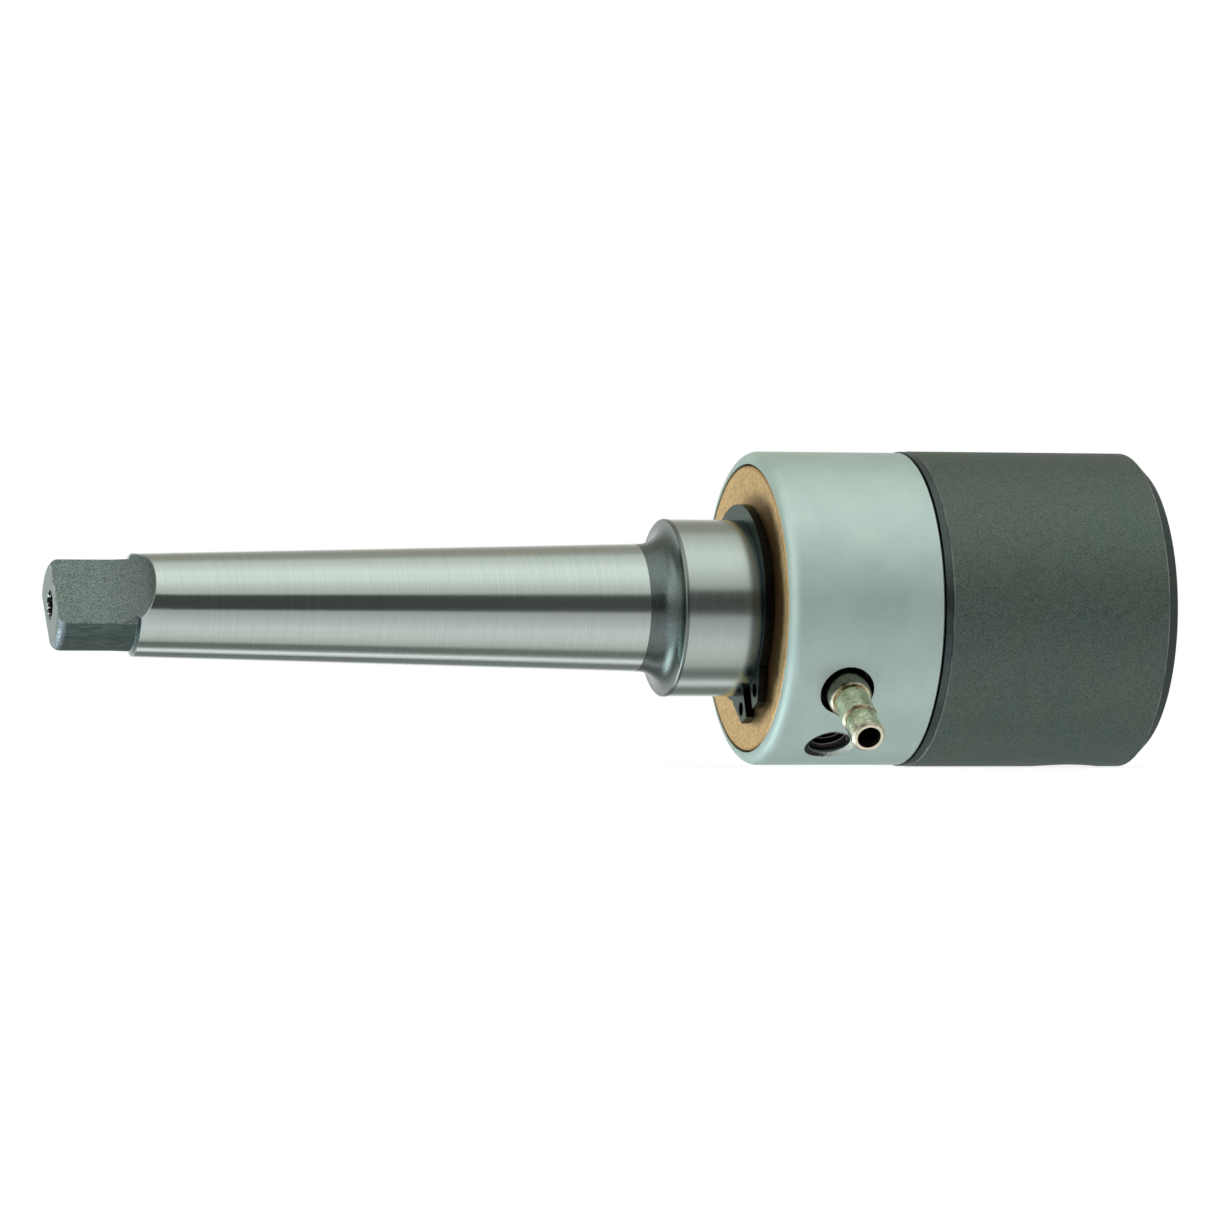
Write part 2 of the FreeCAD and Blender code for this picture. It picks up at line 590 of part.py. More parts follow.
def spring_seat():
    """Washer at the bottom of the spring chamber."""
    return tube(CHAMBER_X, SPRING_X, CHAMBER_R - PLUNGER_CLEARANCE, SPRING_SEAT_BORE / 2)


def export_parts():
    """Write every piece to its own file."""
    pieces = {
        "arbor_body": arbor_body(),
        "external_circlip": external_circlip(),
        "rear_thrust_washer": rear_thrust_washer(),
        "coolant_ring": coolant_ring(),
        "front_bush": front_bush(),
        "rear_bush": rear_bush(),
        "front_seal": shaft_seal(FRONT_SEAL_X, 1),
        "rear_seal": shaft_seal(REAR_BUSH_X, -1),
        "front_seal_spring": garter_spring(FRONT_SEAL_X, 1),
        "rear_seal_spring": garter_spring(REAR_BUSH_X, -1),
        "hose_nipple": hose_nipple(),
        "nipple_washer": nipple_washer(),
        "internal_circlip": internal_circlip(),
        "valve_plunger": valve_plunger(),
        "plunger_seal": plunger_seal(),
        "valve_spring": valve_spring(),
        "spring_seat": spring_seat(),
    }
    for name, angle in SCREW_ANGLES.items():
        pieces[name] = set_screw(angle)
    for name, shape in pieces.items():
        shape.exportStep("parts/" + name + ".step")


export_parts()
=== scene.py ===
import json
import math
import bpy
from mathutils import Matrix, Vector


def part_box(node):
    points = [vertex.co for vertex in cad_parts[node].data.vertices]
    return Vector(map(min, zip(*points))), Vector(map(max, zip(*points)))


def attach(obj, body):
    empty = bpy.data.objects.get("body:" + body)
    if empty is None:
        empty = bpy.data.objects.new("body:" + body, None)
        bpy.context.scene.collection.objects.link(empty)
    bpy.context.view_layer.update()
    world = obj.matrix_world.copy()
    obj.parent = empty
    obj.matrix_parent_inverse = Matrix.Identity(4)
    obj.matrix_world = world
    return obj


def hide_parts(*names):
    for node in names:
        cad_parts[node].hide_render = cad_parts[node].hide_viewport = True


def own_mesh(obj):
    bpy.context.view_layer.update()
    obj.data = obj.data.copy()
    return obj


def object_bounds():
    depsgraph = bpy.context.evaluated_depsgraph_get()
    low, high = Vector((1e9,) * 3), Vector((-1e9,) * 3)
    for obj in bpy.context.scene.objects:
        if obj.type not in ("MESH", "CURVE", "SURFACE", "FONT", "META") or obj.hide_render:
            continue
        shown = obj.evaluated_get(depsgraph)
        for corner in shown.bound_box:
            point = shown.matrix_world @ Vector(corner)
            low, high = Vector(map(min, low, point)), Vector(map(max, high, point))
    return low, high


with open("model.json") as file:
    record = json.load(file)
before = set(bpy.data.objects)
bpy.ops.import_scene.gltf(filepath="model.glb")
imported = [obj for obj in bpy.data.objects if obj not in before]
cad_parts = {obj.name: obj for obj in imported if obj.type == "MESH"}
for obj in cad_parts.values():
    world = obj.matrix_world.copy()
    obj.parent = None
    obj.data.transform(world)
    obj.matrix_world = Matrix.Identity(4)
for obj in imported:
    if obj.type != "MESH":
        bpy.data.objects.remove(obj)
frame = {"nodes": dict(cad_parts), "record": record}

from types import SimpleNamespace

import bpy
from mathutils import Matrix, Vector

# Looks of a Morse taper arbor with a rotating coolant ring. Lengths are in metres, in the frame of the packed
# part: +X along the axis from the tang to the cutter bore, +Z up, and the front faces -Y. Colours are linear
# red, green and blue.

MM = 0.001
cad_box = [list(corner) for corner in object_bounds()]
nodes = frame["nodes"]
mounts = {mount["name"]: mount for mount in frame["record"]["mounts"]}
HOSE_STEM = mounts["hose_nipple_stem"]
ROD_PORT = mounts["rod_port"]

# Stations along the axis where a finish changes
TIP_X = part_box("arbor_body")[0].x
SHOULDER_X = TIP_X + 11.1 * MM
CONE_START_X = SHOULDER_X + 0.4 * MM
CONE_END_X = 5.0 * MM
RIM_X = 9.105 * MM
JOURNAL_X = RIM_X + 0.55 * MM
CIRCLIP_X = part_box("external_circlip")[0].x
RING_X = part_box("coolant_ring")[0].x
RING_END_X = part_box("coolant_ring")[1].x
PORT_X = ROD_PORT["pos_m"][0]
HEAD_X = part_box("rear_thrust_washer")[1].x
HEAD_END_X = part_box("arbor_body")[1].x
RIGHT_EDGE_X = HEAD_END_X - 1.9 * MM

# Morse cone and tang
CONE_GAUGE_R = 8.89 * MM
CONE_SLOPE = 0.04995 / 2
TANG_R = 6.402 * MM
TANG_HALF_THICKNESS = 3.15 * MM
TANG_CORNER_RADIUS = 1.35 * MM
TANG_FLAT_ANGLE = math.radians(-38.5)
CENTRE_HOLE_MOUTH_R = 2.1 * MM

# Radii of the head, the ring and its ports
HEAD_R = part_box("arbor_body")[1].z
RING_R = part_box("coolant_ring")[1].z
CUTTER_BORE_R = mounts["weldon_bore"]["dims"]["r_mm"] * MM
HOSE_MOUTH_R = 3.9 * MM
ROD_PORT_R = ROD_PORT["dims"]["r_mm"] * MM
ROD_PORT_SINK = 0.6 * MM
THREAD_PITCH = 1.0 * MM
THREAD_DEPTH = 0.5 * MM

# Nipple, as heights above the ring's surface
NIPPLE_COLLAR_OUT = 2.2 * MM
NIPPLE_GROOVE_OUT = 7.2 * MM
NIPPLE_OUT = 11.8 * MM

# Painted shadow of the retaining ring on the front bush, as distances from the axis
CIRCLIP_SHADOW_R = 15.0 * MM
CIRCLIP_SHADOW_FRONT_R = 18.6 * MM
BUSH_RIM_R = 20.1 * MM

# Half of the length in which one finish of the arbor gives way to the next
FINISH_EDGE = 0.04 * MM

# Range of most of a noise's values
NOISE_LOW = 0.3
NOISE_HIGH = 0.7

# Finishes, each from its dark to its light end; those named for shade or highlights are painted light
GROUND = ((0.502, 0.587, 0.530), (0.597, 0.681, 0.615))
JOURNAL = ((0.440, 0.518, 0.464), (0.518, 0.596, 0.535))
GREEN_BLACK = ((0.104, 0.149, 0.124), (0.186, 0.243, 0.209))
BROWN_BLACK = ((0.118, 0.148, 0.121), (0.205, 0.240, 0.202))
NECK = ((0.122, 0.156, 0.140), (0.180, 0.222, 0.202))
TANG_FLAT = ((0.110, 0.148, 0.130), (0.292, 0.355, 0.318))
TANG_SIDE = ((0.082, 0.120, 0.108), (0.142, 0.192, 0.174))
TANG_CORNER_HIGHLIGHT = ((0.27, 0.34, 0.35), (0.85, 0.95, 1.00))
CENTRE_HOLE_SHADE_AND_SWARF = ((0.012, 0.014, 0.013), (0.75, 0.78, 0.74))
SATIN_RING = ((0.575, 0.722, 0.655), (0.675, 0.822, 0.748))
ROD_SINK_SCRATCHES_AND_HIGHLIGHT = ((0.055, 0.055, 0.044), (0.60, 0.63, 0.55))
THREAD_FLANK_SHADE = ((0.012, 0.012, 0.012), (0.030, 0.028, 0.027))
THREAD_CREST_HIGHLIGHT = ((0.16, 0.13, 0.13), (0.42, 0.36, 0.36))
CIRCLIP_FACE = ((0.034, 0.048, 0.040), (0.066, 0.086, 0.074))
CIRCLIP_RIM_SHADE = ((0.010, 0.010, 0.009), (0.028, 0.027, 0.023))
YELLOW_ZINC = ((0.42, 0.42, 0.23), (1.00, 0.97, 0.73))
STAINED_AND_SHADED_ZINC = ((0.10, 0.10, 0.070), (0.26, 0.265, 0.20))
CREAM_ZINC_AND_HIGHLIGHT = ((0.66, 0.62, 0.44), (0.96, 0.90, 0.72))
BRONZE_FACE = ((0.62, 0.455, 0.225), (1.00, 0.735, 0.385))
BRONZE = ((0.52, 0.38, 0.20), (0.68, 0.50, 0.27))
BLACK_OXIDE = ((0.060, 0.082, 0.077), (0.105, 0.135, 0.126))
STAINED_SEAT = ((0.085, 0.070, 0.050), (0.220, 0.185, 0.140))
SPRING_STEEL = ((0.15, 0.165, 0.15), (0.24, 0.255, 0.23))
RUBBER = ((0.012, 0.012, 0.013), (0.030, 0.030, 0.031))

# Single colours of edges, stains and shaded places, and of painted shadows and glints
PALE_WEAR_AND_GLINT = (0.42, 0.44, 0.41)
RIM_EDGE = (0.21, 0.245, 0.22)
JOURNAL_CIRCLIP_SHADE = (0.17, 0.22, 0.225)
SHOULDER = (0.26, 0.31, 0.33)
RUN_OUT_SHADE = (0.10, 0.125, 0.115)
TANG_FLAT_EDGE = (0.34, 0.40, 0.37)
TANG_END_EDGE = (0.50, 0.56, 0.52)
TANG_END_FACE = (0.40, 0.47, 0.43)
HEAD_CHAMFER = (0.035, 0.045, 0.040)
PORT_SHADE = (0.030, 0.031, 0.028)
RING_EDGE = (0.80, 0.88, 0.86)
ZINC_BROWN = (0.33, 0.21, 0.11)
BRONZE_CIRCLIP_SHADOW = (0.085, 0.044, 0.014)
BRONZE_RIM = (0.60, 0.36, 0.15)
CIRCLIP_TINT = (0.82, 0.90, 0.86)
BRONZE_TINT = (0.97, 0.90, 0.78)

# Camera that the photograph was fitted with
CAMERA_AZIMUTH = math.radians(-16.0)
CAMERA_DISTANCE = 1.150
CAMERA_TARGET = Vector((1.49 * MM, 0.0, -0.28 * MM))
CAMERA_ROLL = math.radians(0.265)
FRAME_WIDTH = 171.97 * MM
SENSOR_WIDTH = 36.0
CLIP_START = 0.05
CLIP_END = 20.0

# Floor: half its side, and the small gap that keeps it clear of the part
FLOOR_HALF = 0.8
FLOOR_GAP = 0.02 * MM

# Tints of the studio's light
NEUTRAL = (1.0, 1.0, 1.0)
COOL = (0.98, 0.955, 1.04)
WARM = (1.07, 1.0, 0.91)
MINT = (0.95, 1.0, 0.97)
BLUISH = (0.90, 1.0, 1.10)

# Light round the part's axis: (angle up from the front in degrees, level, tint)
STUDIO_BANDS = [
    (-180, 1.00, NEUTRAL), (-165, 0.80, NEUTRAL), (-150, 0.27, MINT), (-128, 0.23, MINT), (-122, 0.90, COOL),
    (-114, 1.30, COOL), (-109, 0.56, NEUTRAL), (-103, 0.23, MINT), (-90, 0.21, MINT), (-83, 0.60, NEUTRAL),
    (-65, 0.80, NEUTRAL), (-48, 0.88, COOL), (-25, 0.66, COOL), (-11, 0.55, COOL), (-7, 0.08, MINT),
    (22, 0.08, MINT), (25, 0.62, NEUTRAL), (38, 0.78, NEUTRAL), (55, 1.03, NEUTRAL), (74, 1.10, NEUTRAL),
    (95, 0.86, NEUTRAL), (108, 0.72, NEUTRAL), (118, 0.44, WARM), (132, 0.37, WARM), (150, 0.44, WARM),
    (165, 0.80, NEUTRAL), (180, 1.00, NEUTRAL)]

# Light from the tang's side, from below to above: (upward part of the direction, level, tint)
LEFT_BANDS = [
    (-1.00, 0.60, NEUTRAL), (-0.82, 0.80, COOL), (-0.70, 1.20, BLUISH), (-0.46, 1.20, BLUISH),
    (-0.28, 0.90, COOL), (-0.12, 0.40, NEUTRAL), (0.10, 0.40, NEUTRAL), (0.28, 1.30, NEUTRAL),
    (0.58, 1.40, NEUTRAL), (0.72, 0.60, NEUTRAL), (1.00, 0.70, NEUTRAL)]

# Light from single places of the studio
SCREEN_LIGHT = (0.30, 0.33, 0.32)
LAMP_LIGHT = (3.2, 3.6, 3.9)
HEAD_SIDE_LIGHT = (0.40, 0.42, 0.41)


def colour(red, green, blue):
    """An opaque colour for a socket."""
    return (red, green, blue, 1.0)


def add(tree, kind, inputs=None, **settings):
    """A shader node with its settings; inputs holds values, or outputs to link."""
    made = tree.nodes.new(kind)
    for key, value in settings.items():
        setattr(made, key, value)
    for key, value in (inputs or {}).items():
        if isinstance(value, bpy.types.NodeSocket):
            tree.links.new(value, made.inputs[key])
        else:
            made.inputs[key].default_value = value
    return made


def calc(tree, operation, first, second=0.0, third=0.0):
    """Output of one Math node."""
    inputs = {0: first, 1: second, 2: third}
    return add(tree, "ShaderNodeMath", inputs, operation=operation).outputs[0]


def times(tree, first, *others):
    """Product of two or more values."""
    for other in others:
        first = calc(tree, "MULTIPLY", first, other)
    return first


def larger(tree, first, *others):
    """The largest of two or more values."""
    for other in others:
        first = calc(tree, "MAXIMUM", first, other)
    return first


def weighted(tree, *shares):
    """Sum of values, each times its weight."""
    total = 0.0
    for value, weight in shares:
        total = calc(tree, "MULTIPLY_ADD", value, weight, total)
    return total


def between(tree, share, first, second):
    """Value that goes from the first to the second as a share goes from 0 to 1."""
    return calc(tree, "MULTIPLY_ADD", calc(tree, "SUBTRACT", second, first), share, first)


def smooth_step(tree, value, low, high):
    """0 below low, 1 above high, smooth between; with low above high it falls instead."""
    inputs = {"Value": value, "From Min": low, "From Max": high}
    return add(tree, "ShaderNodeMapRange", inputs, interpolation_type="SMOOTHSTEP").outputs[0]


def rescaled(tree, value, from_low, from_high, to_low=0.0, to_high=1.0):
    """Linear change of range, clamped at both ends."""
    inputs = {"Value": value, "From Min": from_low, "From Max": from_high,
              "To Min": to_low, "To Max": to_high}
    return add(tree, "ShaderNodeMapRange", inputs).outputs[0]


def varied(tree, texture, low, high):
    """Value that follows a noise from low to high."""
    return rescaled(tree, texture, NOISE_LOW, NOISE_HIGH, low, high)


def band(tree, value, low, high, soft):
    """1 between low and high, 0 outside, with soft edges."""
    rises = smooth_step(tree, value, low - soft, low + soft)
    falls = smooth_step(tree, value, high - soft, high + soft)
    return calc(tree, "SUBTRACT", rises, falls)


def mixed(tree, share, first, second):
    """Colour between two colours, each an output or red, green and blue."""
    ends = [end if isinstance(end, bpy.types.NodeSocket) else colour(*end) for end in (first, second)]

    # The node's sockets for colours have the same names as those for numbers, so they are picked by place
    inputs = {0: share, 6: ends[0], 7: ends[1]}
    return add(tree, "ShaderNodeMix", inputs, data_type="RGBA").outputs[2]


def painted(tree, base, layers):
    """A colour with layers over it, each a share from 0 to 1 and a colour."""
    for share, paint in layers:
        base = mixed(tree, share, base, paint)
    return base


def vector_math(tree, operation, first, second=(0.0, 0.0, 0.0)):
    """Outputs of one Vector Math node: the vector, or Value where the operation gives a number."""
    return add(tree, "ShaderNodeVectorMath", {0: first, 1: tuple(second)}, operation=operation).outputs


def axis_place(tree, place):
    """A point's station along the X axis and its distance from that axis."""
    station = add(tree, "ShaderNodeSeparateXYZ", {0: place}).outputs["X"]
    radial = vector_math(tree, "MULTIPLY", place, (0.0, 1.0, 1.0))[0]
    return station, vector_math(tree, "LENGTH", radial)["Value"]


def distance_along(tree, place, direction):
    """How far a point lies from the origin along a direction."""
    return vector_math(tree, "DOT_PRODUCT", place, direction)["Value"]


def distance_from_mount(tree, place, mount):
    """Distance of a point from a mount's axis."""
    from_mount = vector_math(tree, "SUBTRACT", place, mount["pos_m"])[0]
    beside = vector_math(tree, "CROSS_PRODUCT", from_mount, mount["axis"])[0]
    return vector_math(tree, "LENGTH", beside)["Value"]


def noise(tree, place, scale, detail, roughness):
    """Noise from 0 to 1; scale is its turns per metre, one number or three along X, Y and Z."""
    if not isinstance(scale, tuple):
        scale = (scale, scale, scale)
    inputs = {"Vector": vector_math(tree, "MULTIPLY", place, scale)[0], "Scale": 1.0, "Detail": detail,
              "Roughness": roughness}
    return add(tree, "ShaderNodeTexNoise", inputs).outputs[0]


def new_material(name, metallic, **constants):
    """A material with its tree, its Principled node and the object's coordinates; constants set that node."""
    material = bpy.data.materials.new(name)
    material.use_nodes = True
    tree = material.node_tree
    surface = tree.nodes["Principled BSDF"]
    surface.inputs["Metallic"].default_value = metallic
    for key, value in constants.items():
        surface.inputs[key.replace("_", " ")].default_value = value
    place = add(tree, "ShaderNodeTexCoord").outputs["Object"]
    return material, tree, surface, place


def finish_surface(tree, surface, base, roughness, height, distance):
    """Connects colour, roughness and a bump of the given depth in metres."""
    tree.links.new(base, surface.inputs["Base Color"])
    tree.links.new(roughness, surface.inputs["Roughness"])
    bump = add(tree, "ShaderNodeBump", {"Height": height, "Distance": distance, "Strength": 1.0})
    tree.links.new(bump.outputs[0], surface.inputs["Normal"])


def worn_edge(tree, place, station, low, high):
    """Thin pale line between two stations, rubbed through more in some places than in others."""
    patches = noise(tree, place, 260, detail=3.0, roughness=0.6)
    rubbed = rescaled(tree, patches, 0.38, 0.62, 0.15, 1.0)
    return times(tree, band(tree, station, low, high, 0.05 * MM), rubbed)


def arbor_zones(tree, place):
    """Shares, from 0 to 1, of the arbor's finishes at a point, and the distances that they come from."""
    x, away = axis_place(tree, place)

    # Depth below the shank's turned surface, where only the milled flats lie
    cone_line = calc(tree, "MULTIPLY_ADD", x, CONE_SLOPE, CONE_GAUGE_R)
    cone_start_r = CONE_GAUGE_R + CONE_SLOPE * CONE_START_X
    shoulder_rise = (cone_start_r - TANG_R) / (CONE_START_X - SHOULDER_X)
    past_shoulder = calc(tree, "SUBTRACT", x, SHOULDER_X)
    shoulder_line = calc(tree, "MULTIPLY_ADD", past_shoulder, shoulder_rise, TANG_R)
    depth = calc(tree, "SUBTRACT", calc(tree, "MINIMUM", cone_line, shoulder_line), away)
    turned = smooth_step(tree, depth, 0.12 * MM, 0.05 * MM)

    cone = times(tree, turned, band(tree, x, SHOULDER_X, CONE_END_X, FINISH_EDGE))
    shoulder = band(tree, x, SHOULDER_X + 0.04 * MM, CONE_START_X - 0.06 * MM, 0.02 * MM)
    journal = band(tree, x, JOURNAL_X, HEAD_X - 0.1 * MM, FINISH_EDGE)
    past_neck = smooth_step(tree, x, JOURNAL_X + 1.0 * MM, JOURNAL_X + 2.0 * MM)
    on_bore = smooth_step(tree, away, CUTTER_BORE_R + 0.3 * MM, CUTTER_BORE_R + 0.1 * MM)
    before_neck = smooth_step(tree, x, CONE_END_X + FINISH_EDGE, CONE_END_X - FINISH_EDGE)
    flats_end = band(tree, depth, 0.08 * MM, 0.20 * MM, 0.04 * MM)

    # Distance from the tang's middle plane, and the rounded sides and corners beyond its flats
    flat_way = (0.0, -math.cos(TANG_FLAT_ANGLE), -math.sin(TANG_FLAT_ANGLE))
    across = calc(tree, "ABSOLUTE", distance_along(tree, place, flat_way))
    side = smooth_step(tree, across, TANG_HALF_THICKNESS - 0.02 * MM, TANG_HALF_THICKNESS - 0.10 * MM)
    near_tip = smooth_step(tree, x, TIP_X + TANG_CORNER_RADIUS, TIP_X + 0.4 * TANG_CORNER_RADIUS)
    return SimpleNamespace(
        x=x,
        away=away,
        across=across,
        journal=journal,
        ground=larger(tree, cone, journal, times(tree, past_neck, on_bore)),
        tang=times(tree, before_neck, calc(tree, "SUBTRACT", 1.0, cone)),
        tang_side=side,
        tang_corner=times(tree, side, near_tip, smooth_step(tree, away, 4.3 * MM, 5.2 * MM)),
        shoulder=times(tree, turned, shoulder),
        # Painted glint along the edge where the milled flats run out into the cone
        run_out_glint=times(tree, flats_end, smooth_step(tree, x, SHOULDER_X, CONE_START_X)),
        neck=band(tree, x, CONE_END_X, JOURNAL_X, FINISH_EDGE),
        rim=band(tree, x, RIM_X + 0.05 * MM, JOURNAL_X, FINISH_EDGE))


def ground_colour(tree, zone, streaks, fine_streaks):
    """Ground steel of cone and bore; the journal is darker, and carries a painted shadow of its retaining
    ring beside that ring.
    """
    tone = varied(tree, weighted(tree, (streaks, 0.5), (fine_streaks, 0.5)), 0.0, 1.0)
    # Painted shadow of the retaining ring on the journal beside it
    beside_circlip = smooth_step(tree, zone.x, CIRCLIP_X - 2.2 * MM, CIRCLIP_X - 1.1 * MM)
    shaded_by_circlip = times(tree, zone.journal, beside_circlip)
    journal = mixed(tree, shaded_by_circlip, mixed(tree, tone, *JOURNAL), JOURNAL_CIRCLIP_SHADE)
    return mixed(tree, zone.journal, mixed(tree, tone, *GROUND), journal)


def tang_colour(tree, place, zone, grain, black_tone):
    """Milled and heat-treated tang: speckled flats with painted shade on their run-out, dark sides, rubbed
    edges, pale metal with painted highlights on its corners, a painted glint along the run-out's edge and
    painted shade in the centre hole.
    """
    # Painted shade on the flats towards the shoulder, where their run-out curves up
    run_out_shade = times(tree, smooth_step(tree, zone.x, TIP_X + 6.0 * MM, SHOULDER_X), 0.35)
    flat = mixed(tree, run_out_shade, mixed(tree, black_tone, *TANG_FLAT), RUN_OUT_SHADE)
    side_grain = noise(tree, place, (500, 2600, 2600), detail=3.0, roughness=0.6)
    side = mixed(tree, rescaled(tree, side_grain, 0.35, 0.65), *TANG_SIDE)
    # Pale turned metal on the rounded corners, with painted bluish highlights
    corner = mixed(tree, smooth_step(tree, grain, 0.56, 0.66), *TANG_CORNER_HIGHLIGHT)

    # Edges where the oxide is rubbed off
    rubbed = smooth_step(tree, noise(tree, place, 1500, detail=3.0, roughness=0.7), 0.44, 0.58)
    edge_low = TANG_HALF_THICKNESS - 0.16 * MM
    edge_high = TANG_HALF_THICKNESS - 0.02 * MM
    flat_edge = times(tree, band(tree, zone.across, edge_low, edge_high, 0.02 * MM), rubbed, 0.6)
    end_edge = times(tree, band(tree, zone.x, TIP_X + 0.05 * MM, TIP_X + 0.26 * MM, 0.03 * MM), rubbed)
    end_face = smooth_step(tree, zone.x, TIP_X + 0.12 * MM, TIP_X + 0.03 * MM)

    # Centre hole, painted nearly black as its shade, with swarf in it
    in_mouth = smooth_step(tree, zone.away, CENTRE_HOLE_MOUTH_R + 0.05 * MM, CENTRE_HOLE_MOUTH_R - 0.02 * MM)
    hole = times(tree, in_mouth, smooth_step(tree, zone.x, TIP_X + 0.02 * MM, TIP_X + 0.08 * MM))
    swarf = smooth_step(tree, noise(tree, place, 1500, detail=2.0, roughness=0.7), 0.54, 0.60)
    return painted(tree, flat, [
        (zone.tang_side, side),
        (zone.tang_corner, corner),
        (flat_edge, TANG_FLAT_EDGE),
        (end_edge, TANG_END_EDGE),
        (end_face, TANG_END_FACE),
        (hole, mixed(tree, swarf, *CENTRE_HOLE_SHADE_AND_SWARF)),
        # painted glint along the flats' run-out
        (zone.run_out_glint, PALE_WEAR_AND_GLINT)])


def head_colour(tree, place, zone, black_tone):
    """Black-oxide head, greener in some clouds and browner in others, with pale edges and a dark chamfer."""
    clouds = noise(tree, place, 130, detail=4.0, roughness=0.65)
    turned_bands = noise(tree, place, (800, 40, 40), detail=2.0, roughness=0.5)
    drift = rescaled(tree, weighted(tree, (clouds, 0.65), (turned_bands, 0.35)), 0.40, 0.62)
    oxide = mixed(tree, drift, mixed(tree, black_tone, *GREEN_BLACK), mixed(tree, black_tone, *BROWN_BLACK))
    left_edge = worn_edge(tree, place, zone.x, HEAD_X + 0.08 * MM, HEAD_X + 0.24 * MM)
    right_edge = worn_edge(tree, place, zone.x, RIGHT_EDGE_X - 0.08 * MM, RIGHT_EDGE_X + 0.08 * MM)
    outside = smooth_step(tree, zone.away, HEAD_R - 0.5 * MM, HEAD_R - 0.3 * MM)
    past_edge = smooth_step(tree, zone.x, RIGHT_EDGE_X, RIGHT_EDGE_X + 0.1 * MM)
    off_bore = smooth_step(tree, zone.away, CUTTER_BORE_R + 0.3 * MM, CUTTER_BORE_R + 0.5 * MM)
    return painted(tree, oxide, [
        (times(tree, larger(tree, left_edge, right_edge), outside), PALE_WEAR_AND_GLINT),
        (times(tree, past_edge, off_bore, 0.55), HEAD_CHAMFER)])


def arbor_material():
    """Ground cone, journal and bore; black-oxide neck and head; milled and heat-treated tang."""
    material, tree, surface, place = new_material("ground_and_blackened_steel", 1.0)
    zone = arbor_zones(tree, place)
    streaks = noise(tree, place, (7000, 70, 70), detail=3.0, roughness=0.6)
    fine_streaks = noise(tree, place, (16000, 220, 220), detail=2.0, roughness=0.5)
    grain = noise(tree, place, 5200, detail=2.0, roughness=0.7)
    mottle = noise(tree, place, 900, detail=3.0, roughness=0.6)

    black_tone = rescaled(tree, weighted(tree, (mottle, 0.20), (grain, 0.80)), 0.41, 0.59)
    neck = mixed(tree, zone.rim, mixed(tree, black_tone, *NECK), RIM_EDGE)
    base = painted(tree, head_colour(tree, place, zone, black_tone), [
        (zone.neck, neck),
        (zone.tang, tang_colour(tree, place, zone, grain, black_tone)),
        (zone.ground, ground_colour(tree, zone, streaks, fine_streaks)),
        (zone.shoulder, SHOULDER)])

    # The cone is a little rougher towards its large end, and the journal rougher again
    up_the_cone = smooth_step(tree, zone.x, -45.0 * MM, 0.0)
    ground_part = varied(tree, fine_streaks, 0.08, 0.15)
    rough_ground = weighted(tree, (ground_part, 1.0), (up_the_cone, 0.05), (zone.journal, 0.05))
    black_part = varied(tree, mottle, 0.60, 0.67)
    whole_tang = larger(tree, zone.tang, zone.tang_corner)
    rough_black = weighted(tree, (black_part, 1.0), (zone.neck, -0.38), (whole_tang, -0.12))
    roughness = between(tree, zone.ground, rough_black, rough_ground)
    height = between(tree, zone.ground, grain, fine_streaks)
    depth = between(tree, zone.ground, 0.008 * MM, 0.0015 * MM)
    finish_surface(tree, surface, base, roughness, height, depth)
    return material


def ring_material():
    """Satin turned steel, pale mint grey; dark inside the ports and the bore."""
    material, tree, surface, place = new_material("satin_ring_steel", 1.0)
    x, away = axis_place(tree, place)
    streaks = noise(tree, place, (5000, 60, 60), detail=3.0, roughness=0.6)
    grain = noise(tree, place, 3000, detail=4.0, roughness=0.65)
    clouds = noise(tree, place, 120, detail=4.0, roughness=0.6)
    tone = rescaled(tree, weighted(tree, (streaks, 0.15), (clouds, 0.60), (grain, 0.25)), 0.36, 0.64)

    # Shade in the hose port's mouth and deeper than the rod port's sink
    below = calc(tree, "SUBTRACT", RING_R, away)
    from_hose = distance_from_mount(tree, place, HOSE_STEM)
    near_hose = smooth_step(tree, from_hose, HOSE_MOUTH_R + 0.5 * MM, HOSE_MOUTH_R + 0.3 * MM)
    in_mouth = times(tree, near_hose, smooth_step(tree, below, 0.12 * MM, 0.35 * MM))
    deep = smooth_step(tree, below, ROD_PORT_SINK, ROD_PORT_SINK + 0.25 * MM)
    off_faces = band(tree, x, RING_X + 2.0 * MM, RING_END_X - 1.0 * MM, 0.1 * MM)
    shade = larger(tree, in_mouth, times(tree, deep, off_faces))

    # The rod port's countersink, scratched bright, with a painted highlight on its right side
    from_rod = distance_from_mount(tree, place, ROD_PORT)
    sink_end = ROD_PORT_R + ROD_PORT_SINK + 0.05 * MM
    port_side = smooth_step(tree, distance_along(tree, place, ROD_PORT["axis"]), 0.0, 1.0 * MM)
    sink = times(tree, band(tree, from_rod, ROD_PORT_R + 0.02 * MM, sink_end, 0.04 * MM), port_side)
    scratches = noise(tree, place, 4200, detail=3.0, roughness=0.7)
    right_side_highlight = smooth_step(tree, x, PORT_X - 2.5 * MM, PORT_X + 2.0 * MM)
    rubbed = smooth_step(tree, weighted(tree, (scratches, 1.0), (right_side_highlight, 0.5)), 0.70, 1.02)
    base = painted(tree, mixed(tree, tone, *SATIN_RING), [
        (shade, PORT_SHADE),
        (sink, mixed(tree, rubbed, *ROD_SINK_SCRATCHES_AND_HIGHLIGHT)),
        (worn_edge(tree, place, x, RING_END_X - 0.30 * MM, RING_END_X - 0.08 * MM), RING_EDGE)])

    height = weighted(tree, (grain, 0.75), (streaks, 0.25))
    finish_surface(tree, surface, base, varied(tree, grain, 0.56, 0.63), height, 0.003 * MM)
    return material


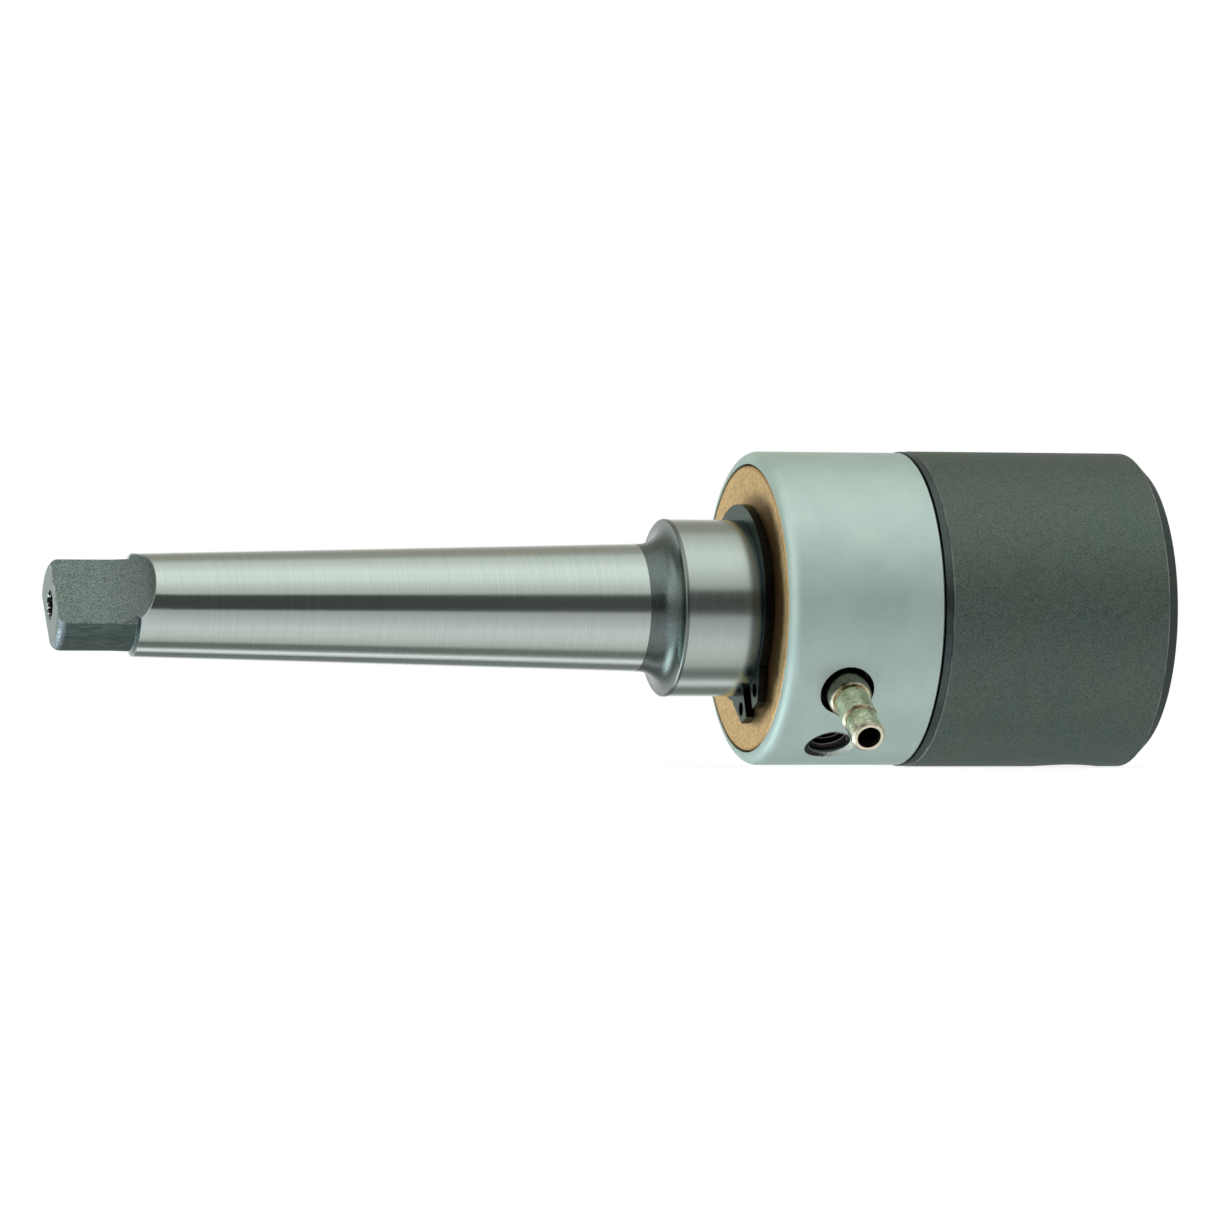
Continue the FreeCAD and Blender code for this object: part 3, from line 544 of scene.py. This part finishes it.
def circlip_material():
    """Black spring steel: its flat faces catch some light, and its rims, which face the bronze, are painted
    nearly black as shade.
    """
    material, tree, surface, place = new_material(
        "black_spring_steel", 1.0, Specular_Tint=colour(*CIRCLIP_TINT))
    grain = noise(tree, place, 3200, detail=4.0, roughness=0.65)
    normal = add(tree, "ShaderNodeTexCoord").outputs["Normal"]
    facing_x = add(tree, "ShaderNodeSeparateXYZ", {0: normal}).outputs["X"]
    flat = smooth_step(tree, calc(tree, "ABSOLUTE", facing_x), 0.6, 0.9)
    tone = rescaled(tree, grain, 0.35, 0.65)
    # Rims painted nearly black as shade, faces in their own dark tone
    base = mixed(tree, flat, mixed(tree, tone, *CIRCLIP_RIM_SHADE), mixed(tree, tone, *CIRCLIP_FACE))
    finish_surface(tree, surface, base, varied(tree, grain, 0.30, 0.40), grain, 0.004 * MM)
    return material


def nipple_material():
    """Yellow-passivated zinc: stained grey and painted in shade in the port's mouth, brown in the corners,
    pale and painted with highlights on its end and its collar's lip.
    """
    material, tree, surface, place = new_material("yellow_passivated_zinc", 1.0)
    proud = calc(tree, "SUBTRACT", distance_along(tree, place, HOSE_STEM["axis"]), RING_R)
    grain = noise(tree, place, 1900, detail=4.0, roughness=0.7)
    clouds = noise(tree, place, 620, detail=3.0, roughness=0.6)
    tone = rescaled(tree, weighted(tree, (clouds, 0.5), (grain, 0.5)), 0.40, 0.60)
    # Grey stain together with painted shade on the collar down in the port's mouth
    stained_and_shaded = smooth_step(tree, proud, NIPPLE_COLLAR_OUT - 0.02 * MM, NIPPLE_COLLAR_OUT - 0.22 * MM)
    layers = [(stained_and_shaded, mixed(tree, tone, *STAINED_AND_SHADED_ZINC))]

    brown_clouds = rescaled(tree, clouds, 0.42, 0.58, 0.1, 0.85)
    above_collar = (NIPPLE_COLLAR_OUT - 0.02 * MM, NIPPLE_COLLAR_OUT + 0.5 * MM)
    in_groove = (NIPPLE_GROOVE_OUT - 0.2 * MM, NIPPLE_GROOVE_OUT + 0.9 * MM)
    for low, high in (above_collar, in_groove):
        layers.append((times(tree, band(tree, proud, low, high, 0.1 * MM), brown_clouds), ZINC_BROWN))

    # Pale zinc with painted highlights on the nipple's end and, worn in patches, on the collar's lip
    end = smooth_step(tree, proud, NIPPLE_OUT - 0.5 * MM, NIPPLE_OUT - 0.2 * MM)
    lip = band(tree, proud, NIPPLE_COLLAR_OUT - 0.13 * MM, NIPPLE_COLLAR_OUT - 0.07 * MM, 0.03 * MM)
    worn_and_highlit_lip = times(tree, lip, rescaled(tree, clouds, 0.40, 0.60, 0.15, 0.55))
    layers.append((larger(tree, end, worn_and_highlit_lip), mixed(tree, tone, *CREAM_ZINC_AND_HIGHLIGHT)))

    base = painted(tree, mixed(tree, tone, *YELLOW_ZINC), layers)
    finish_surface(tree, surface, base, varied(tree, clouds, 0.12, 0.24), grain, 0.006 * MM)
    return material


def front_bush_material():
    """Matte golden bronze with a painted shadow of the retaining ring round that ring, and browner at the
    rim.
    """
    material, tree, surface, place = new_material(
        "sintered_bronze_face", 1.0, Specular_Tint=colour(*BRONZE_TINT))
    away = axis_place(tree, place)[1]
    grain = noise(tree, place, 2200, detail=4.0, roughness=0.7)
    clouds = noise(tree, place, 240, detail=4.0, roughness=0.65)
    tone = rescaled(tree, weighted(tree, (clouds, 0.25), (grain, 0.75)), 0.40, 0.60)

    # The painted shadow reaches further out, and is darker, towards the front
    front = smooth_step(tree, distance_along(tree, place, (0.0, -1.0, 0.0)), -7.0 * MM, 13.0 * MM)
    within = calc(tree, "SUBTRACT", between(tree, front, CIRCLIP_SHADOW_R, CIRCLIP_SHADOW_FRONT_R), away)
    spread = weighted(tree, (within, 1.0), (varied(tree, clouds, -1.0, 1.0), 0.6 * MM))
    circlip_shadow = times(tree, smooth_step(tree, spread, -0.9 * MM, 1.6 * MM), between(tree, front, 0.20, 0.97))
    rim = times(tree, smooth_step(tree, away, BUSH_RIM_R - 0.5 * MM, BUSH_RIM_R), 0.7)
    base = painted(tree, mixed(tree, tone, *BRONZE_FACE), [(circlip_shadow, BRONZE_CIRCLIP_SHADOW), (rim, BRONZE_RIM)])
    finish_surface(tree, surface, base, varied(tree, clouds, 0.45, 0.58), grain, 0.005 * MM)
    return material


def simple_metal(name, finish, rough_low, rough_high, scale, depth):
    """Metal with a fine grain and larger patches between the two ends of its finish."""
    material, tree, surface, place = new_material(name, 1.0)
    grain = noise(tree, place, scale, detail=4.0, roughness=0.6)
    patches = noise(tree, place, scale / 12, detail=3.0, roughness=0.6)
    tone = rescaled(tree, weighted(tree, (grain, 0.5), (patches, 0.5)), 0.35, 0.65)
    roughness = varied(tree, patches, rough_low, rough_high)
    finish_surface(tree, surface, mixed(tree, tone, *finish), roughness, grain, depth)
    return material


def rubber_material():
    """Matte black seal rubber."""
    material, tree, surface, place = new_material("seal_rubber", 0.0)
    grain = noise(tree, place, 3000, detail=3.0, roughness=0.6)
    base = mixed(tree, grain, *RUBBER)
    finish_surface(tree, surface, base, varied(tree, grain, 0.55, 0.75), grain, 0.01 * MM)
    return material


def thread_material():
    """Dark steel, painted nearly black as shade in the port, with painted highlights on the thread's crests.
    """
    material, tree, surface, place = new_material("thread_steel_shade_and_highlight", 1.0)
    away = distance_from_mount(tree, place, ROD_PORT)
    crest_r = ROD_PORT_R - THREAD_DEPTH
    # Crests painted as highlights, flanks painted nearly black as shade in the port
    crest = smooth_step(tree, away, crest_r + 0.10 * MM, crest_r + 0.02 * MM)
    grain = noise(tree, place, 3000, detail=3.0, roughness=0.6)
    base = mixed(tree, crest, mixed(tree, grain, *THREAD_FLANK_SHADE), mixed(tree, grain, *THREAD_CREST_HIGHLIGHT))
    finish_surface(tree, surface, base, varied(tree, grain, 0.30, 0.45), grain, 0.004 * MM)
    return material


def rod_port_thread():
    """Thread crests in the open port: a helical ridge on the bore's wall."""
    out = Vector(ROD_PORT["axis"]).normalized()
    across = Vector((1, 0, 0))
    beside = out.cross(across)
    length = ROD_PORT["dims"]["length_mm"] * MM
    start = Vector(ROD_PORT["pos_m"]) + out * (length / 2 - 0.45 * THREAD_PITCH)

    # Section of the ridge: (distance from the port's axis, place along it), sunk a little into the wall
    foot_r = ROD_PORT_R + 0.02 * MM
    crest_r = ROD_PORT_R - THREAD_DEPTH
    foot, crest = 0.42 * THREAD_PITCH, 0.08 * THREAD_PITCH
    section = [(foot_r, -foot), (crest_r, -crest), (crest_r, crest), (foot_r, foot)]

    steps = 48
    count = int((length / THREAD_PITCH - 0.6) * steps)
    points, faces = [], []
    for number in range(count + 1):
        turn = 2 * math.pi * number / steps
        way = across * math.cos(turn) + beside * math.sin(turn)
        middle = start - out * (THREAD_PITCH * number / steps)
        points += [middle + way * radius + out * along for radius, along in section]
    size = len(section)
    for number in range(count):
        for corner in range(size):
            here = number * size + corner
            after = number * size + (corner + 1) % size
            faces.append((here, after, after + size, here + size))
    faces.append(tuple(range(size))[::-1])
    faces.append(tuple(count * size + corner for corner in range(size)))
    mesh = bpy.data.meshes.new("rod_port_thread")
    mesh.from_pydata(points, [], faces)
    mesh.update()
    thread = bpy.data.objects.new("rod_port_thread", mesh)
    bpy.context.scene.collection.objects.link(thread)
    mesh.materials.append(thread_material())
    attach(thread, "ring")


def valve_spring_coils():
    """The valve spring's coils as a piece with a mesh of its own, carried by the arbor; the real coils close
    up towards their seat as the plunger goes back.
    """
    piece = bpy.data.objects.new("valve_spring_coils", nodes["valve_spring"].data.copy())
    bpy.context.scene.collection.objects.link(piece)
    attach(piece, "arbor")
    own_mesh(piece)
    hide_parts("valve_spring")


def dress(material, *names):
    """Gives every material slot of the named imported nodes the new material."""
    for name in names:
        for slot in nodes[name].material_slots:
            slot.material = material


def light_ramp(tree, share, bands):
    """Colours of a list of bands along a value that runs from 0 at the first band to 1 at the last."""
    ramp = add(tree, "ShaderNodeValToRGB", {0: share})
    first, last = bands[0][0], bands[-1][0]
    stops = ramp.color_ramp.elements
    while len(stops) < len(bands):
        stops.new(1.0)
    for stop, (at, level, tint) in zip(stops, bands):
        stop.position = (at - first) / (last - first)
        stop.color = colour(*[level * channel for channel in tint])
    return ramp.outputs[0]


def studio_light(tree, right, back, up):
    """Light of the studio from a direction, given as its parts to the right, to the back and upwards."""
    angle = calc(tree, "ARCTAN2", up, times(tree, back, -1.0))
    round_axis = light_ramp(tree, rescaled(tree, angle, -math.pi, math.pi), STUDIO_BANDS)
    from_left = light_ramp(tree, rescaled(tree, up, -1.0, 1.0), LEFT_BANDS)
    left = smooth_step(tree, right, -0.50, -0.75)
    screen = times(tree, smooth_step(tree, right, -0.50, -0.66), smooth_step(tree, back, 0.20, 0.40),
                   smooth_step(tree, up, -0.52, -0.38))
    lamp = times(tree, band(tree, up, -0.76, -0.54, 0.05), smooth_step(tree, right, -0.42, -0.56),
                 smooth_step(tree, back, 0.0, 0.18))
    past_head = smooth_step(tree, right, 0.5, 0.85)
    return painted(tree, mixed(tree, left, round_axis, from_left), [
        (screen, SCREEN_LIGHT),
        (lamp, LAMP_LIGHT),
        (past_head, HEAD_SIDE_LIGHT)])


def studio_world():
    """White to the camera; the part is lit by the studio's bands round its axis and from the tang's side."""
    world = bpy.data.worlds.new("studio")
    bpy.context.scene.world = world
    world.use_nodes = True
    tree = world.node_tree
    tree.nodes.clear()
    way = add(tree, "ShaderNodeTexCoord").outputs["Generated"]
    right, back, up = add(tree, "ShaderNodeSeparateXYZ", {0: way}).outputs
    lit = add(tree, "ShaderNodeBackground", {"Color": studio_light(tree, right, back, up), "Strength": 1.0})
    white = add(tree, "ShaderNodeBackground", {"Color": colour(1, 1, 1), "Strength": 1.0})

    # The camera sees white everywhere; metal and glass see it where the backdrop stands
    rays = add(tree, "ShaderNodeLightPath").outputs
    mirrored = larger(tree, rays["Is Glossy Ray"], rays["Is Transmission Ray"])
    backdrop = smooth_step(tree, back, 0.90, 0.97)
    shows_white = larger(tree, rays["Is Camera Ray"], times(tree, mirrored, backdrop))
    both = add(tree, "ShaderNodeMixShader", {0: shows_white, 1: lit.outputs[0], 2: white.outputs[0]})
    output = add(tree, "ShaderNodeOutputWorld")
    tree.links.new(both.outputs[0], output.inputs["Surface"])


def floor_material():
    """White with a soft shadow to the camera, a pale surface to scattered light, open to all other light."""
    material = bpy.data.materials.new("pale_floor")
    material.use_nodes = True
    tree = material.node_tree
    tree.nodes.clear()
    plain = add(tree, "ShaderNodeBsdfDiffuse", {"Color": colour(0.85, 0.85, 0.85)})
    shadow = add(tree, "ShaderNodeBsdfDiffuse", {"Color": colour(0.30, 0.30, 0.30)})
    glow = add(tree, "ShaderNodeEmission", {"Color": colour(1, 1, 1), "Strength": 0.86})
    seen = add(tree, "ShaderNodeAddShader", {0: shadow.outputs[0], 1: glow.outputs[0]})
    open_way = add(tree, "ShaderNodeBsdfTransparent")
    rays = add(tree, "ShaderNodeLightPath").outputs
    passes = larger(tree, rays["Is Glossy Ray"], rays["Is Transmission Ray"], rays["Is Shadow Ray"])
    unseen = add(tree, "ShaderNodeMixShader", {0: passes, 1: plain.outputs[0], 2: open_way.outputs[0]})
    choice = {0: rays["Is Camera Ray"], 1: unseen.outputs[0], 2: seen.outputs[0]}
    both = add(tree, "ShaderNodeMixShader", choice)
    output = add(tree, "ShaderNodeOutputMaterial")
    tree.links.new(both.outputs[0], output.inputs["Surface"])
    return material


def studio_floor():
    """Pale floor just under the part."""
    level = cad_box[0][2] - FLOOR_GAP
    corners = [(x * FLOOR_HALF, y * FLOOR_HALF, level) for x, y in ((-1, -1), (1, -1), (1, 1), (-1, 1))]
    mesh = bpy.data.meshes.new("floor")
    mesh.from_pydata(corners, [], [(0, 1, 2, 3)])
    mesh.materials.append(floor_material())
    floor = bpy.data.objects.new("floor", mesh)
    bpy.context.scene.collection.objects.link(floor)


def photo_camera():
    """Camera at the photograph's viewing angle."""
    data = bpy.data.cameras.new("camera")
    data.sensor_width = SENSOR_WIDTH
    data.lens = SENSOR_WIDTH * CAMERA_DISTANCE / FRAME_WIDTH
    data.clip_start = CLIP_START
    data.clip_end = CLIP_END
    camera = bpy.data.objects.new("camera", data)
    bpy.context.scene.collection.objects.link(camera)
    back = Vector((math.sin(CAMERA_AZIMUTH), -math.cos(CAMERA_AZIMUTH), 0.0))
    roll = Matrix.Rotation(CAMERA_ROLL, 4, "Z").to_quaternion()
    camera.location = CAMERA_TARGET + back * CAMERA_DISTANCE
    camera.rotation_mode = "QUATERNION"
    camera.rotation_quaternion = (-back).to_track_quat("-Z", "Y") @ roll
    bpy.context.scene.camera = camera


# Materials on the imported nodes
dress(arbor_material(), "arbor_body")
dress(ring_material(), "coolant_ring")
dress(front_bush_material(), "front_bush")
dress(circlip_material(), "external_circlip")
dress(nipple_material(), "hose_nipple")
dress(simple_metal("sintered_bronze", BRONZE, 0.42, 0.55, 2600, 0.004 * MM), "rear_bush", "valve_plunger")
dress(simple_metal("black_oxide", BLACK_OXIDE, 0.36, 0.48, 2400, 0.004 * MM),
      "rear_thrust_washer", "set_screw_front", "set_screw_side")
dress(simple_metal("stained_seat_ring", STAINED_SEAT, 0.35, 0.50, 2200, 0.006 * MM), "nipple_washer")
dress(simple_metal("phosphated_spring_steel", SPRING_STEEL, 0.30, 0.42, 3600, 0.002 * MM),
      "internal_circlip", "spring_seat", "valve_spring", "front_seal_spring", "rear_seal_spring")
dress(rubber_material(), "front_seal", "rear_seal", "plunger_seal")

# Thread crests, which the solids leave out, and the spring's coils as a piece of their own
rod_port_thread()
valve_spring_coils()

studio_world()
studio_floor()
photo_camera()
bpy.context.scene.view_settings.view_transform = "Standard"
